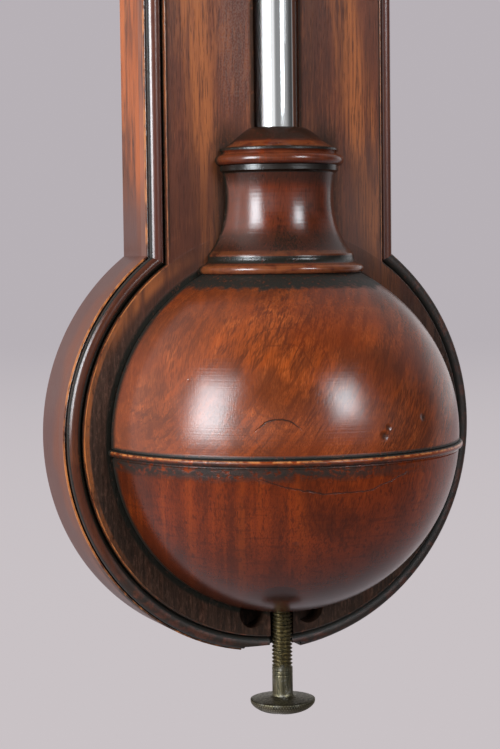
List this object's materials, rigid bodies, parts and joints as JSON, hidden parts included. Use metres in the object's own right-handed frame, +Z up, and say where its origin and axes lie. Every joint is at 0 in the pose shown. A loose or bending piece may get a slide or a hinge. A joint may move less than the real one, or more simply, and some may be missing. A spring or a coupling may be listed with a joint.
{
  "type": "stick barometer",
  "caption": "Wall-hung mahogany stick barometer with an open mercury tube, a turned hemispherical cistern cover, a portable screw and a glazed register with a rack-driven vernier.",
  "frame": {"origin": "centre of the hanging hole, in the plane of the wall", "axes": "+X to the right of someone facing the barometer, +Y into the wall, +Z up"},
  "size_m": [0.116, 0.0673, 0.9796],
  "materials": {
    "mahogany": "waxed, worn",
    "moulding": "polished",
    "turned_mahogany": "polished",
    "boxwood": "satin",
    "clear_glass": "clear",
    "mercury": "liquid mirror",
    "red_spirit": "liquid",
    "bag_leather": "soft",
    "waxed_thread": "waxed",
    "steel_screw": "darkened",
    "silvered_brass": "silvered, lacquered",
    "brass": "lacquered",
    "bronzed_brass": "patinated"
  },
  "bodies": {
    "case": {"back_board": "mahogany", "trunk_moulding_left": "moulding", "trunk_moulding_right": "moulding", "base_moulding_left": "moulding", "base_moulding_right": "moulding", "cistern_cover_upper": "turned_mahogany", "cistern_cover_lower": "turned_mahogany", "cover_collar": "turned_mahogany", "cover_fixing_screws": "steel_screw", "glass_tube": "clear_glass", "mercury_column": "mercury", "cistern_body": "boxwood", "cistern_cap": "boxwood", "cistern_mercury": "mercury", "bag_mercury": "mercury", "leather_bag": "bag_leather", "bag_binding": "waxed_thread", "cistern_strap": "brass", "strap_screws": "steel_screw", "tube_clips": "brass", "clip_screws": "steel_screw", "screw_bush": "brass", "bush_bracket": "brass", "bracket_screws": "steel_screw", "register_plate_left": "silvered_brass", "register_plate_right": "silvered_brass", "register_screws": "brass", "thermometer_tube": "clear_glass", "thermometer_spirit": "red_spirit", "thermometer_clips": "brass", "arbor_bush": "brass", "rack_cover": "mahogany", "rack_cover_screws": "steel_screw", "head_stile_left": "mahogany", "head_stile_right": "mahogany", "head_rail_bottom": "mahogany", "head_rail_top": "mahogany", "cornice": "mahogany", "pediment": "mahogany", "finial": "brass", "hanging_plate": "brass", "hanging_plate_screws": "steel_screw", "hinge_leaves_case": "brass", "hinge_pins": "brass"},
    "pad": {"bag_pad": "boxwood"},
    "screw": {"portable_screw": "bronzed_brass"},
    "vernier": {"vernier_plate": "silvered_brass", "vernier_index": "brass", "vernier_rack": "brass"},
    "setting_knob": {"vernier_pinion": "brass", "vernier_knob": "brass"},
    "door": {"door_frame": "mahogany", "door_glass": "clear_glass", "glazing_beads": "mahogany", "door_knob": "brass", "hinge_leaves_door": "brass"}
  },
  "joints": [
    {"name": "pad_lift", "type": "slide", "parent": "case", "child": "pad", "axis": [0, 0, 1], "range_m": [0, 0.0125], "deforming": ["leather_bag", "bag_mercury"]},
    {"name": "portable_screw_turn", "type": "hinge", "parent": "pad", "child": "screw", "pos_m": [0, -0.02, -0.955], "axis": [0, 0, 1], "range_deg": [0, 4499.9]},
    {"name": "vernier_slide", "type": "slide", "parent": "case", "child": "vernier", "axis": [0, 0, 1], "range_m": [-0.07366, 0.02794]},
    {"name": "setting_knob_turn", "type": "hinge", "parent": "case", "child": "setting_knob", "pos_m": [0.0222, -0.02, -0.255], "axis": [0, 1, 0], "range_deg": [-888, 336]},
    {"name": "door_swing", "type": "hinge", "parent": "case", "child": "door", "pos_m": [0.0519, -0.04215, -0.145], "axis": [0, 0, 1], "range_deg": [0, 120]}
  ],
  "couplings": [
    {"joint": "pad_lift", "follows": "portable_screw_turn", "m_per_rad": 0.00015915},
    {"joint": "setting_knob_turn", "follows": "vernier_slide", "rad_per_m": 208.33}
  ]
}
